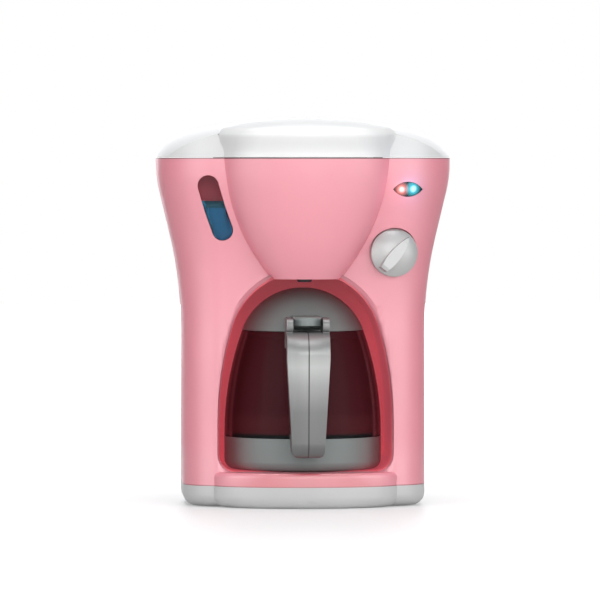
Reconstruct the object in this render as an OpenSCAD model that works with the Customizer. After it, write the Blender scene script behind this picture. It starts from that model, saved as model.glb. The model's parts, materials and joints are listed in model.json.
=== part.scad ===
// Toy coffee maker with a slide-out carafe, a turning knob and a hinged top lid.
// Millimetres. X to the right, front towards -Y, Z up. The origin lies on the
// underside, in the middle between the two sides.

/* [Base tray] */
// Height of the white tray that carries the body
base_h = 11; // [9:0.5:15]
// Radius of the rounded lower edge of the tray
base_edge_r = 6.5; // [3:0.5:7]
// Wall and floor thickness of the tray
base_wall = 2.2; // [1.8:0.1:3]

/* [Body] */
// Width of the body at its foot
foot_w = 128; // [122:1:140]
// Depth of the body at its foot, without the lobes
foot_d = 84; // [82:1:92]
// Corner radius of the body at its foot
corner_r = 22; // [19:1:26]
// Height of the pink body between the tray and the lid
body_h = 172.5; // [170:0.5:185]
// How far the shoulders flare out on each side
flare = 13.4; // [12:0.2:15]
// Angle of the straight part of the flare
flare_angle = 13.5; // [12.5:0.5:14.5]
// Height of the straight-sided part of the body above its foot
straight_h = 80.4; // [78:0.2:82]
// Radius with which the flare turns upright at the shoulder
shoulder_r = 64; // [55:1:70]
// Wall thickness of the shells
wall = 2.2; // [1.8:0.1:2.8]
// Depth of the front shell behind the middle of the body
split_y = 14; // [10:1:18]

/* [Filter bowl and lobes] */
// How far the bowl's edge at the seam lies inside the side of the foot
bowl_side = 18; // [15:0.5:22]
// How far the bowl stands out at the seam, from the middle of its ellipse
bowl_b = 27.9; // [24:0.1:32]
// Depth of the middle of the bowl's ellipse in front of the body's middle
bowl_y = 46; // [44:0.5:50]
// Height of the bowl
bowl_h = 63.5; // [62:0.5:66]
// How far the edge of the tray's lobe lies inside the side of the foot
lobe_side = 14.7; // [12:0.1:16]
// How far the lobe of the tray and of the sill stands out from its middle
lobe_b = 24; // [20:0.5:28]
// Depth of the middle of that lobe in front of the body's middle
lobe_y = 36; // [34:0.5:40]
// Radius of the rounded edge on top of the sill
sill_edge_r = 3; // [1:0.5:4]

/* [Niche] */
// Width of the body beside the niche, on each side
niche_side = 18.4; // [16:0.1:20]
// Height of the niche floor above the table
niche_floor_z = 18.5; // [18:0.1:20]
// Height at which the sides begin to lean in, above the floor
niche_side_h = 26.5; // [24:0.5:30]
// Radius of the leaning sides
niche_side_r = 175; // [150:5:190]
// Height above the floor at which the crown arc takes over
niche_shoulder_h = 76.5; // [75:0.5:78]
// Corner radius at the floor
niche_corner_r = 9; // [6:0.5:11]
// Width of the rounded lip around the opening
niche_lip = 3; // [1:0.5:4]
// Depth of the back wall of the niche behind the body's middle
niche_back_y = 35.5; // [34.5:0.5:37]
// Wall thickness of the liner
liner_wall = 1.8; // [1.4:0.1:2]

/* [Top lid] */
// Height of the lid over the seam, at its crown
lid_h = 21; // [19:0.5:24]
// Wall thickness of the lid
lid_wall = 2.2; // [1.8:0.1:3]
// How far the lid's middle band widens towards the top, on each side
lid_band_flare = 0.3; // [0.1:0.1:4]
// Radius of the rounded upper edge of the band
lid_band_edge_r = 5; // [3:0.5:6]
// Height at the upper edge of the band, above the seam
lid_band_edge_h = 16.3; // [15:0.1:17]
// Joint line between the lid and the body
lid_gap = 0.3; // [0.2:0.1:0.5]
// Distance of the two hinges from the middle
lid_hinge_x = 36; // [30:1:40]
// Diameter of the hinge pins
lid_pin_d = 2; // [1.6:0.1:2.4]

/* [Knob] */
// Distance of the knob's middle from the side of the foot
knob_side = 17.9; // [15:0.1:19]
// Height of the knob above the table
knob_z = 133.7; // [131:0.1:136]
// Angle by which the knob faces outwards
knob_yaw = 10; // [8:1:13]
// Diameter of the knob
knob_d = 25; // [23:0.1:27]
// Angle of the grip, clockwise from upright
knob_pointer = 40; // [0:5:60]
// Diameter of the knob's shaft
shaft_d = 6; // [5:0.5:6.5]

/* [Carafe] */
// Room between the carafe and each side of the niche
jar_room = 4; // [3.5:0.1:6.5]
// Radius of the curved flank of the jar
jar_flank_r = 160; // [150:5:180]
// Height of the jar's rim above the table
jar_top_z = 92; // [91:0.5:93]
// Wall thickness of the jar
jar_wall = 1.8; // [1.4:0.1:2.4]
// Room between the carafe and the back wall of the niche
jar_back_gap = 0.5; // [0.4:0.1:2]
// Top of the grey band round the foot of the carafe, above the table
band_top_z = 36; // [34:0.5:38]
// How far the ball of the carafe lid's dome is wider than the jar's neck
dome_over = 2.1; // [1.8:0.1:3.8]
// Width of the handle at its top
handle_w = 22.4; // [21:0.2:25]
// Width of the handle at its foot
handle_foot_w = 17; // [16:0.5:19]
// How far the handle stands out in front of the carafe
handle_out = 29.2; // [26.5:0.2:32.5]
// Width of the slot between the handle's ears
ear_slot_w = 15.6; // [14:0.2:16.2]

/* [Gauge and lamps] */
// Width of the water gauge window
gauge_w = 11; // [9:0.2:12]
// Level of the blue water above the table
gauge_level_z = 161; // [152:0.5:164]
// Width of the lamp lens
lamp_w = 16; // [14:0.5:18]
// Height of the lamp lens
lamp_h = 8; // [6.4:0.1:9]
// Distance of the lamp lens from the side of the foot
lamp_side = 10.8; // [8:0.1:12]
// Height of the lamp lens above the table
lamp_z = 167.1; // [165:0.1:168]

/* [Filter, speaker and batteries] */
// Depth of the filter and the nozzle in front of the body's middle
filter_y = 28; // [26:0.5:30]
// Radius of the filter basket at its top
filter_r = 30.5; // [28:0.5:31]
// Radius of the filter basket at its floor
filter_floor_r = 20; // [17:0.5:22]
// Depth of the filter basket
filter_h = 43; // [38:1:44]
// Diameter of the drip nozzle
nozzle_d = 9; // [7:0.5:10]
// Diameter of the speaker
speaker_d = 36; // [28:1:40]
// Diameter of one battery cell
cell_d = 10.3; // [10.1:0.1:10.5]
// Length of one battery cell without its nub
cell_l = 43.3; // [42:0.1:44]

/* [Fits] */
// Gap between parts that are put together
fit = 0.2; // [0.1:0.05:0.3]
// Radial play of a shaft or pin that turns
run = 0.05; // [0.03:0.01:0.1]

/* [Hidden] */
$fn = 96;
e = 0.01;

seam_z = base_h + body_h;
ahead_y = -foot_d;
foot_x = foot_w / 2 - corner_r;
foot_y = foot_d / 2 - corner_r;
back_y = foot_d / 2;
bowl_a = foot_w / 2 - bowl_side;
lobe_a = foot_w / 2 - lobe_side;
niche_half_w = foot_w / 2 - niche_side;
knob_x = foot_w / 2 - knob_side;
lamp_x = foot_w / 2 - lamp_side;
top_r = corner_r + flare;

// The flare is a hollow arc, a straight slope and a round shoulder, all tangent.
flare_z = base_h + straight_h;
shoulder_z = seam_z - 2.5;
slope_z = shoulder_z - shoulder_r * sin(flare_angle);
shoulder_out = shoulder_r * (1 - cos(flare_angle));
hollow_r = ((slope_z - flare_z) * tan(flare_angle) - (flare - shoulder_out))
    / (sin(flare_angle) * tan(flare_angle) - (1 - cos(flare_angle)));
hollow_steps = 7;
shoulder_steps = 5;

function arc(x, y, r, from, to, steps) =
    [for (i = [0:steps]) let (a = from + (to - from) * i / steps)
        [x + r * cos(a), y + r * sin(a)]];

function flare_at(z) =
    z <= flare_z ? 0
    : z < flare_z + hollow_r * sin(flare_angle)
        ? hollow_r - sqrt(hollow_r * hollow_r - (z - flare_z) * (z - flare_z))
    : z < slope_z ? flare - shoulder_out - (slope_z - z) * tan(flare_angle)
    : z < shoulder_z
        ? flare - shoulder_r + sqrt(shoulder_r * shoulder_r - (shoulder_z - z) * (shoulder_z - z))
    : flare;

function wall_r(z) = corner_r + flare_at(z);

// Depth of the front face at a given place across the body.
function front_at(x, z) =
    foot_y + (abs(x) <= foot_x ? wall_r(z)
        : sqrt(wall_r(z) * wall_r(z) - (abs(x) - foot_x) * (abs(x) - foot_x)));

body_levels = concat(
    [for (i = [0:hollow_steps]) flare_z + hollow_r * sin(flare_angle * i / hollow_steps)],
    [for (i = [shoulder_steps:-1:0]) shoulder_z - shoulder_r * sin(flare_angle * i / shoulder_steps)]);

// Upright profile of the body, from its corner axis out to the wall.
module body_profile(inset, from_z, to_z) {
    polygon(concat([[0, from_z], [wall_r(from_z) - inset, from_z]],
        [for (z = body_levels) if (z > from_z && z < to_z) [wall_r(z) - inset, z]],
        [[wall_r(to_z) - inset, to_z], [0, to_z]]));
}

module along_x(length) {
    rotate([90, 0, 90]) translate([0, 0, -length / 2]) linear_extrude(length) children();
}

module along_y(from_y, to_y) {
    translate([0, to_y, 0]) rotate([90, 0, 0]) linear_extrude(to_y - from_y) children();
}

// Outline drawn out through the whole thickness of the front wall.
module through_front() {
    along_y(-70, -30) children();
}

// Quarter turn of a profile round one of the four corner axes: 0 is the right rear one.
corner_axes = [[1, 1], [-1, 1], [-1, -1], [1, -1]];
module corner_turn(i) {
    translate([corner_axes[i][0] * foot_x, corner_axes[i][1] * foot_y, 0]) rotate([0, 0, 90 * i])
        rotate_extrude(angle = 90) children();
}

// Profile drawn out along both sides of the body, between two depths.
module side_slabs(from_y, to_y) {
    translate([foot_x, 0, 0]) along_y(from_y, to_y) children();
    rotate([0, 0, 180]) translate([foot_x, 0, 0]) along_y(-to_y, -from_y) children();
}

module front_slab() {
    rotate([0, 0, 180]) translate([0, foot_y, 0]) along_x(2 * foot_x) children();
}

// Front part of the body, back to the plane rear_y. A positive inset gives the cavity.
module front_form(inset = 0, from_z = base_h, to_z = seam_z, rear_y = split_y) {
    for (i = [2, 3]) corner_turn(i) body_profile(inset, from_z, to_z);
    side_slabs(-foot_y, rear_y) body_profile(inset, from_z, to_z);
    front_slab() body_profile(inset, from_z, to_z);
    translate([-foot_x, -foot_y, from_z]) cube([2 * foot_x, foot_y + rear_y, to_z - from_z]);
}

module back_form(inset = 0, from_z = base_h, to_z = seam_z, front_y = split_y) {
    intersection() {
        union() {
            for (i = [0, 1]) corner_turn(i) body_profile(inset, from_z, to_z);
            side_slabs(front_y, foot_y) body_profile(inset, from_z, to_z);
        }
        translate([-foot_w, front_y - 1, from_z - 1])
            cube([2 * foot_w, back_y - inset - front_y + 1, to_z - from_z + 2]);
    }
    translate([-foot_x, front_y, from_z]) cube([2 * foot_x, back_y - inset - front_y, to_z - from_z]);
}

// Half width of the bowl at a depth under the seam.
bowl_reach = bowl_h + 16.4;
bowl_steps = 10;
function bowl_half(depth) = bowl_a * pow(1 - pow(depth / bowl_reach, 1.6), 0.786);

function bowl_profile(inset, over) = concat(
    [[bowl_a - inset, seam_z + over]],
    [for (i = [0:bowl_steps]) let (d = (bowl_h - inset) * i / bowl_steps)
        [bowl_half(d) - inset, seam_z - d]]);

// Outline on both sides of the middle, from the profile on the right.
module both_ways(profile) {
    polygon(concat(profile, [for (i = [len(profile) - 1:-1:0]) [-profile[i][0], profile[i][1]]]));
}

module one_way(profile) {
    last = len(profile) - 1;
    polygon(concat([[0, profile[0][1]]], profile, [[0, profile[last][1]]]));
}

// Front half of an ellipse, seen from above, as two quarter turns.
module front_half_ellipse(a, b, y) {
    translate([0, -y, 0]) scale([1, b / a, 1]) for (i = [2, 3]) rotate([0, 0, 90 * i])
        rotate_extrude(angle = 90) children();
}

module bowl_form(inset = 0, over = 0) {
    front_half_ellipse(bowl_a - inset, bowl_b - inset, bowl_y) one_way(bowl_profile(inset, over));
    along_y(-bowl_y, -foot_d / 2 + wall) both_ways(bowl_profile(inset, over));
}

// Low rounded lobe of the sill and of the tray, as an ellipse seen from above.
module lobe_form(profile_inset) {
    front_half_ellipse(lobe_a - profile_inset, lobe_b - profile_inset, lobe_y) children();
}

module sill_form(inset = 0, over = 0) {
    lobe_form(inset) polygon(concat(
        [[0, base_h - over], [lobe_a - inset, base_h - over]],
        inset > 0 ? [[lobe_a - inset, niche_floor_z - inset]]
            : arc(lobe_a - sill_edge_r, niche_floor_z - sill_edge_r, sill_edge_r, 0, 90, 4),
        [[0, niche_floor_z - inset]]));
}

// Outline of the niche, in X and Z, grown by a margin on all sides but the floor.
niche_side_z = niche_floor_z + niche_side_h;
niche_shoulder_z = niche_floor_z + niche_shoulder_h;
niche_lean = asin((niche_shoulder_z - niche_side_z) / niche_side_r);
niche_shoulder_x = niche_half_w - niche_side_r * (1 - cos(niche_lean));
niche_crown_r = niche_shoulder_x / cos(niche_lean);
niche_crown_z = niche_shoulder_z - niche_crown_r * sin(niche_lean);
niche_top_z = niche_crown_z + niche_crown_r;

function niche_half(grow) = concat(
    arc(niche_half_w - niche_corner_r, niche_floor_z + niche_corner_r, niche_corner_r + grow, -80, 0, 5),
    arc(niche_half_w - niche_side_r, niche_side_z, niche_side_r + grow, 0, niche_lean, 4),
    arc(0, niche_crown_z, niche_crown_r + grow, niche_lean, 90, 12));

function niche_right(grow, floor_z) = concat(
    [[niche_half_w - niche_corner_r, floor_z]],
    [for (p = niche_half(grow)) if (p[1] > floor_z + e) p]);

module niche_outline(grow = 0, floor_z = niche_floor_z) {
    right = niche_right(grow, floor_z);
    polygon(concat(right, [for (i = [len(right) - 2:-1:0]) [-right[i][0], right[i][1]]]));
}

// Bosses and screws
boss_r = 3.6;
screw_d = 2.6;
screw_hole_d = screw_d + 2 * run;
screw_head_d = 4.8;
screw_head_h = 1.9;
screw_clear_d = screw_d + 0.6;
screw_well_d = screw_head_d + 0.8;
shell_screw_x = foot_w / 2 - 9;
shell_screw_places = [[shell_screw_x, base_h + 23], [shell_screw_x, base_h + 89],
    [foot_w / 2 - 1.5, seam_z - 33.5]];
base_screw_x = foot_w / 2 - 8;
base_screw_places = [[base_screw_x, -6], [base_screw_x, 28]];
deck_post_x = foot_w / 2 + 2;
deck_post_places = [[deck_post_x, -24], [deck_post_x, 25]];
deck_t = 2.6;
deck_post_h = 16;
base_post_h = 13;
deck_top_z = seam_z - 0.5;
deck_post_z = deck_top_z - deck_t - deck_post_h;

module screw(length, head = true) {
    cylinder(d = screw_d, h = length);
    translate([0, 0, -screw_head_h]) difference() {
        union() {
            translate([0, 0, 0.8]) cylinder(d = screw_head_d, h = screw_head_h - 0.8);
            cylinder(d1 = screw_head_d - 1.2, d2 = screw_head_d, h = 0.8);
        }
        for (a = [0, 90]) rotate([0, 0, a]) translate([-1.4, -0.3, -e]) cube([2.8, 0.6, 1]);
    }
}

module both_sides() {
    children();
    mirror([1, 0, 0]) children();
}

// A place on the front face, turned so that Z points out of the knob's seat.
knob_face_y = front_at(knob_x, knob_z);
module knob_frame() {
    translate([knob_x, -knob_face_y, knob_z]) rotate([90, 0, knob_yaw]) children();
}
knob_seat_depth = 2;
knob_cup_floor = 2.2;
switch_depth = 7;
switch_front = -knob_seat_depth - knob_cup_floor - 0.6;
board_front = switch_front - switch_depth;
board_t = 1.6;
board = [26, 30];
board_bosses = [[-10.5, 9], [10.5, -9]];
board_screw_d = 1.6;

// Gauge window: a bent capsule across the shoulder of the body.
gauge_points = [[12.4 - foot_w / 2, seam_z - 14.5], [15.9 - foot_w / 2, seam_z - 26.3],
    [20.1 - foot_w / 2, seam_z - 37.9]];
function right_angle_of(low, high) = atan2(high[1] - low[1], high[0] - low[0]) - 90;
gauge_top_a = right_angle_of(gauge_points[1], gauge_points[0]);
gauge_foot_a = right_angle_of(gauge_points[2], gauge_points[1]);
gauge_mid_a = (gauge_top_a + gauge_foot_a) / 2;
module gauge_outline(grow) {
    r = gauge_w / 2 + grow;
    side = r * [cos(gauge_mid_a), sin(gauge_mid_a)];
    polygon(concat(
        arc(gauge_points[0][0], gauge_points[0][1], r, gauge_top_a, gauge_top_a + 180, 14),
        [gauge_points[1] - side],
        arc(gauge_points[2][0], gauge_points[2][1], r, gauge_foot_a + 180, gauge_foot_a + 360, 14),
        [gauge_points[1] + side]));
}

// Lamp lens: the almond between two arcs.
lamp_arc_r = (lamp_w * lamp_w / 4 + lamp_h * lamp_h / 4) / lamp_h;
module lamp_outline(grow) {
    translate([lamp_x, lamp_z]) intersection_for(s = [-1, 1])
        translate([0, s * (lamp_arc_r - lamp_h / 2)]) circle(lamp_arc_r + grow);
}
lamp_led_x = 3.35;
lamp_led_d = 5;
lamp_led_y = front_at(lamp_x + lamp_led_x, lamp_z) - wall - 1.6;

// Filter and nozzle
filter_rim = 2.6;
filter_rim_t = 1.4;
filter_wall = 1.6;
filter_floor_z = deck_top_z - filter_h;
nozzle_tip_z = seam_z - bowl_h - 2;
nozzle_seat_z = niche_top_z + liner_wall + 2.4;
nozzle_flange_r = nozzle_d / 2 + 3.2;

// Water pouring well in the deck
well = [60, 20, 14];
well_y = 22;

// Speaker in the back, clear of the niche's crown
speaker_drop = 37;
speaker_niche_gap = 0.5;
speaker_z = max(seam_z - speaker_drop,
    niche_top_z + liner_wall + (speaker_d + fit) / 2 + speaker_niche_gap);
speaker_depth = 8;
speaker_ring_t = 1.6;
speaker_rim_t = 3;

// Batteries: three small cells side by side in the tray
cells = 3;
cell_pitch = cell_d + 0.6;
cell_z = base_wall + 0.4 + cell_d / 2;
box_y = -29;
box_in = [cell_l + 11.7, cells * cell_pitch + 7.3];
box_t = 1.5;
box_roof_z = cell_z + cell_d / 2 + 0.5;
threshold_z = box_roof_z + box_t + fit;
hatch = [cell_l + 6.7, cells * cell_pitch + 2.3];
door_screw_y = box_y - box_in[1] / 2 - box_t - 3.5;

// Hinge of the top lid
hinge_r = 3;
hinge_y = back_y + hinge_r + 0.5;
hinge_z = seam_z + 0.2;
hinge_shell_l = 5;
hinge_lid_l = 9;
hinge_step = (hinge_lid_l + hinge_shell_l + 0.6) / 2;

// ---------------------------------------------------------------- base tray

module tray_profile(r, inset) {
    polygon(inset > 0
        ? [[0, base_wall], [r - inset - base_edge_r / 2, base_wall], [r - inset, base_wall + base_edge_r / 2],
            [r - inset, base_h + 1], [0, base_h + 1]]
        : concat([[0, 0]], arc(r - base_edge_r, base_edge_r, base_edge_r, -90, 0, 5),
            [[r, base_h], [0, base_h]]));
}

module tray_form(inset = 0) {
    low = inset > 0 ? base_wall : 0;
    high = inset > 0 ? base_h + 1 : base_h;
    intersection() {
        union() {
            for (i = [0:3]) corner_turn(i) tray_profile(corner_r, inset);
            side_slabs(-foot_y, foot_y) tray_profile(corner_r, inset);
        }
        translate([-foot_w, -foot_d, -1]) cube([2 * foot_w, foot_d + back_y - inset, base_h + 3]);
    }
    front_slab() tray_profile(corner_r, inset);
    translate([0, foot_y, 0]) along_x(2 * foot_x) tray_profile(corner_r, inset);
    translate([-foot_x, -foot_y, low]) cube([2 * foot_x, 2 * foot_y, high - low]);
    lobe_form(inset) tray_profile(lobe_a, inset);
}

module base_tray() {
    color("whitesmoke") difference() {
        union() {
            difference() {
                tray_form();
                tray_form(base_wall);
            }
            both_sides() for (p = base_screw_places) translate([p[0], p[1], base_wall / 2])
                cylinder(r = boss_r + 0.8, h = base_h - base_wall / 2);
            translate([0, door_screw_y, base_wall / 2]) cylinder(r = boss_r - 0.4, h = base_h - base_wall / 2);
        }
        both_sides() for (p = base_screw_places) translate([p[0], p[1], -1]) {
            cylinder(d = screw_clear_d, h = base_h + 2);
            cylinder(d = screw_well_d, h = 1 + screw_head_h + 2);
        }
        translate([0, door_screw_y, base_wall]) cylinder(d = screw_hole_d, h = base_h);
        translate([0, door_screw_y, -1]) cylinder(r = boss_r + 1.4, h = 1 + base_wall - 0.4);
        translate([-hatch[0] / 2, box_y - hatch[1] / 2, -1]) cube([hatch[0], hatch[1], base_wall + 2]);
        translate([-boss_r - 1.4, door_screw_y, -1])
            cube([2 * boss_r + 2.8, box_y - hatch[1] / 2 - door_screw_y + 1, 1 + base_wall - 0.4]);
        translate([0, door_screw_y, -1]) cylinder(d = screw_clear_d, h = base_wall + 1.1);
    }
}

// ------------------------------------------------------------------- shells

module front_bosses() {
    intersection() {
        front_form(1);
        union() {
            both_sides() {
                for (p = shell_screw_places) translate([p[0], split_y, p[1]]) rotate([90, 0, 0])
                    cylinder(r = boss_r, h = 60);
                translate([base_screw_places[0][0], base_screw_places[0][1], base_h])
                    cylinder(r = boss_r, h = base_post_h);
                translate([base_screw_places[0][0], base_screw_places[0][1] - 1, base_h])
                    cube([10, 2, base_post_h]);
                translate([deck_post_places[0][0], deck_post_places[0][1], deck_post_z])
                    cylinder(r = boss_r, h = deck_post_h);
                translate([deck_post_places[0][0], deck_post_places[0][1] - 1, deck_post_z])
                    cube([12, 2, deck_post_h]);
            }
            knob_frame() {
                translate([0, 0, -knob_seat_depth - knob_cup_floor])
                    cylinder(d = knob_d + 5.4, h = knob_seat_depth + knob_cup_floor + 3);
                for (p = board_bosses) translate([p[0], p[1], board_front])
                    cylinder(r = 2.6, h = -board_front - knob_seat_depth);
            }
        }
    }
}

module niche_cut() {
    along_y(-bowl_y - 0.2, -foot_y) niche_outline();
    // rounded lip, as two bevels around the opening
    front = back_y + 0.4;
    for (step = [[niche_lip, 0, niche_lip * 0.3, 0.9], [niche_lip * 0.3, 0.9, 0, niche_lip]]) hull() {
        along_y(-bowl_y - 0.1 - (step[1] > 0 ? 0 : 4), -front + step[1]) niche_outline(step[0]);
        along_y(-bowl_y, -front + step[3]) niche_outline(step[2]);
    }
}

module front_shell() {
    color("lightpink") difference() {
        union() {
            difference() {
                union() {
                    front_form();
                    bowl_form();
                    sill_form();
                }
                front_form(wall, base_h - 1, seam_z + 1, split_y + 1);
                bowl_form(wall, 1);
                sill_form(wall, 1);
            }
            // threshold between the sill and the niche floor
            translate([-niche_half_w + niche_corner_r, -foot_d / 2 + wall / 2, threshold_z])
                cube([2 * (niche_half_w - niche_corner_r), wall / 2, niche_floor_z - threshold_z]);
            front_bosses();
        }
        niche_cut();
        knob_frame() {
            translate([0, 0, -knob_seat_depth]) cylinder(d = knob_d + 1.4, h = 20);
            translate([0, 0, -20]) cylinder(d = shaft_d + 1.2, h = 30);
            for (p = board_bosses) translate([p[0], p[1], board_front - 1])
                cylinder(d = board_screw_d + 2 * run, h = 7);
        }
        through_front() gauge_outline(0);
        through_front() lamp_outline(0);
        both_sides() {
            for (p = shell_screw_places) translate([p[0], split_y + 1, p[1]]) rotate([90, 0, 0])
                cylinder(d = screw_hole_d, h = 12);
            translate([base_screw_places[0][0], base_screw_places[0][1], base_h - 1])
                cylinder(d = screw_hole_d, h = 12);
            translate([deck_post_places[0][0], deck_post_places[0][1], deck_top_z - deck_t - 9])
                cylinder(d = screw_hole_d, h = 10);
        }
    }
}

module hinge_knuckle(length) {
    rotate([0, 90, 0]) cylinder(r = hinge_r, h = length, center = true);
}

module back_shell() {
    color("lightpink") difference() {
        union() {
            difference() {
                back_form();
                back_form(wall, base_h - 1, seam_z + 1, split_y - 1);
            }
            intersection() {
                back_form(1);
                both_sides() {
                    for (p = shell_screw_places) translate([p[0], back_y, p[1]]) rotate([90, 0, 0])
                        cylinder(r = boss_r + 0.6, h = back_y - split_y - fit);
                    translate([base_screw_places[1][0], base_screw_places[1][1], base_h])
                        cylinder(r = boss_r, h = base_post_h);
                    translate([base_screw_places[1][0], base_screw_places[1][1] - 1, base_h])
                        cube([10, 2, base_post_h]);
                    translate([deck_post_places[1][0], deck_post_places[1][1], deck_post_z])
                        cylinder(r = boss_r, h = deck_post_h);
                    translate([deck_post_places[1][0], deck_post_places[1][1] - 1, deck_post_z])
                        cube([12, 2, deck_post_h]);
                }
            }
            // ring that the speaker sits in
            translate([0, back_y - wall / 2, speaker_z]) rotate([90, 0, 0])
                cylinder(d = speaker_d + 2 * fit + 2 * speaker_ring_t, h = speaker_depth + wall / 2);
            both_sides() for (s = [-1, 1]) translate([lid_hinge_x + s * hinge_step, 0, 0]) {
                translate([0, hinge_y, hinge_z]) hinge_knuckle(hinge_shell_l);
                translate([-hinge_shell_l / 2, back_y - wall / 2, seam_z - 14])
                    cube([hinge_shell_l, wall / 2 + 1, 13]);
                translate([-hinge_shell_l / 2, back_y, seam_z - 14]) rotate([90, 0, 90])
                    linear_extrude(hinge_shell_l)
                        polygon([[0, 0], [0, 13], [hinge_r, 14], [2 * hinge_r + 0.4, 13.4]]);
            }
        }
        translate([0, back_y - wall, speaker_z]) rotate([90, 0, 0])
            cylinder(d = speaker_d + 2 * fit, h = speaker_depth + 2);
        for (i = [-3:3]) {
            half = sqrt(speaker_d * speaker_d / 4 - i * i * 16) - 4;
            translate([-half, back_y - wall - 1, speaker_z + i * 4 - 0.9]) cube([2 * half, wall + 2, 1.8]);
        }
        both_sides() {
            for (p = shell_screw_places) translate([p[0], 0, p[1]]) {
                translate([0, split_y - 1, 0]) rotate([-90, 0, 0]) cylinder(d = screw_clear_d, h = 40);
                translate([0, split_y + 4, 0]) rotate([-90, 0, 0]) cylinder(d = screw_well_d, h = 40);
            }
            translate([base_screw_places[1][0], base_screw_places[1][1], base_h - 1])
                cylinder(d = screw_hole_d, h = 12);
            translate([deck_post_places[1][0], deck_post_places[1][1], deck_top_z - deck_t - 9])
                cylinder(d = screw_hole_d, h = 10);
            translate([lid_hinge_x, hinge_y, hinge_z]) rotate([0, 90, 0])
                cylinder(d = lid_pin_d + 2 * run, h = 60, center = true);
        }
    }
}

// ------------------------------------------------------------ niche and deck

module niche_liner() {
    color("indianred") difference() {
        union() {
            intersection() {
                difference() {
                    along_y(ahead_y, niche_back_y) niche_outline(liner_wall, niche_floor_z - liner_wall);
                    along_y(ahead_y - 1, niche_back_y - liner_wall) niche_outline();
                }
                union() {
                    front_form(wall + fit, base_h, seam_z, foot_y);
                    translate([-foot_x, 0, base_h]) cube([2 * foot_x + 10, foot_d / 2, body_h]);
                    translate([-foot_x - 10, 0, base_h]) cube([20, foot_d / 2, body_h]);
                }
            }
            // flat seat for the nozzle on the crown
            difference() {
                translate([0, -filter_y, niche_top_z - 2])
                    cylinder(r = nozzle_flange_r + 0.8, h = nozzle_seat_z - niche_top_z + 2);
                along_y(ahead_y - 1, niche_back_y - liner_wall) niche_outline();
            }
        }
        translate([0, -filter_y, niche_top_z - 4]) cylinder(d = nozzle_d + 2 * fit, h = 20);
    }
}

// Plan of the shoulders under the lid, without the bowl.
module shoulder_plan(inset) {
    for (x = [-1, 1]) for (y = [-1, 1]) translate([x * foot_x, y * foot_y]) circle(top_r - inset);
    square([2 * (foot_x + top_r - inset), 2 * foot_y], center = true);
    square([2 * foot_x, 2 * (foot_y + top_r - inset)], center = true);
}

module deck_outline(inset) {
    intersection() {
        shoulder_plan(inset);
        translate([-foot_w, -foot_w]) square([2 * foot_w, foot_w + back_y - inset]);
    }
    translate([0, -bowl_y]) scale([1, (bowl_b - inset) / (bowl_a - inset)]) circle(bowl_a - inset);
}

module top_deck() {
    color("whitesmoke") difference() {
        union() {
            translate([0, 0, deck_top_z - deck_t]) linear_extrude(deck_t) deck_outline(wall + 2 * fit);
            translate([-well[0] / 2 - 1.6, well_y - well[1] / 2 - 1.6, deck_top_z - well[2] - 1.6])
                cube([well[0] + 3.2, well[1] + 3.2, well[2]]);
            // collar that steadies the filter basket
            translate([0, -filter_y, deck_top_z - 7]) cylinder(r = filter_r + fit + 1.6, h = 6);
        }
        translate([-well[0] / 2, well_y - well[1] / 2, deck_top_z - well[2]])
            cube([well[0], well[1], well[2] + 1]);
        translate([0, -filter_y, deck_top_z - 8]) cylinder(r = filter_r + fit, h = 10);
        both_sides() for (p = deck_post_places) translate([p[0], p[1], deck_top_z - deck_t - 1]) {
            cylinder(d = screw_clear_d, h = deck_t + 2);
            translate([0, 0, 1 + deck_t - screw_head_h]) cylinder(d = screw_well_d, h = 4);
        }
    }
}

module filter_basket() {
    color("dimgray") translate([0, -filter_y, 0]) difference() {
        union() {
            translate([0, 0, filter_floor_z]) cylinder(r1 = filter_floor_r, r2 = filter_r, h = filter_h);
            translate([0, 0, deck_top_z]) cylinder(r = filter_r + filter_rim, h = filter_rim_t);
        }
        translate([0, 0, filter_floor_z + filter_wall])
            cylinder(r1 = filter_floor_r - filter_wall, r2 = filter_r - filter_wall,
                h = filter_h + filter_rim_t);
        translate([0, 0, filter_floor_z - 1]) cylinder(d = 5, h = 4);
        for (a = [0:60:359]) rotate([0, 0, a]) translate([filter_floor_r * 0.55, 0, filter_floor_z - 1])
            cylinder(d = 2.4, h = 4);
    }
}

module drip_nozzle() {
    color("dimgray") translate([0, -filter_y, 0]) difference() {
        union() {
            translate([0, 0, nozzle_tip_z]) cylinder(d1 = nozzle_d - 2, d2 = nozzle_d, h = 2);
            translate([0, 0, nozzle_tip_z + 2]) cylinder(d = nozzle_d, h = nozzle_seat_z - nozzle_tip_z);
            translate([0, 0, nozzle_seat_z]) cylinder(r = nozzle_flange_r, h = 1.6);
            translate([0, 0, nozzle_seat_z + 1.6])
                cylinder(r1 = nozzle_d / 2 + 0.4, r2 = nozzle_flange_r + 1,
                    h = filter_floor_z - nozzle_seat_z - 1.9);
        }
        translate([0, 0, nozzle_tip_z - 1]) cylinder(d = nozzle_d - 4, h = 40);
        translate([0, 0, nozzle_seat_z + 3])
            cylinder(r1 = nozzle_d / 2 - 2, r2 = nozzle_flange_r - 0.6,
                h = filter_floor_z - nozzle_seat_z - 3.2);
    }
}

// ------------------------------------------------------------------ top lid

lid_from_z = seam_z + lid_gap;
lid_crown = [79.2, 97, lid_h + 3];
lid_crown_power = 2.5;
lid_crown_steps = 24;
lid_crown_r = 215;

module lid_crown_form(inset) {
    translate([0, 0, seam_z - 4 - inset]) scale(lid_crown - [inset, inset, 0])
        rotate_extrude($fn = 144) polygon(concat([[0, 0]],
            [for (i = [0:lid_crown_steps]) let (a = 90 * i / lid_crown_steps)
                [pow(cos(a), 2 / lid_crown_power), pow(sin(a), 2 / lid_crown_power)]]));
}

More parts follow.
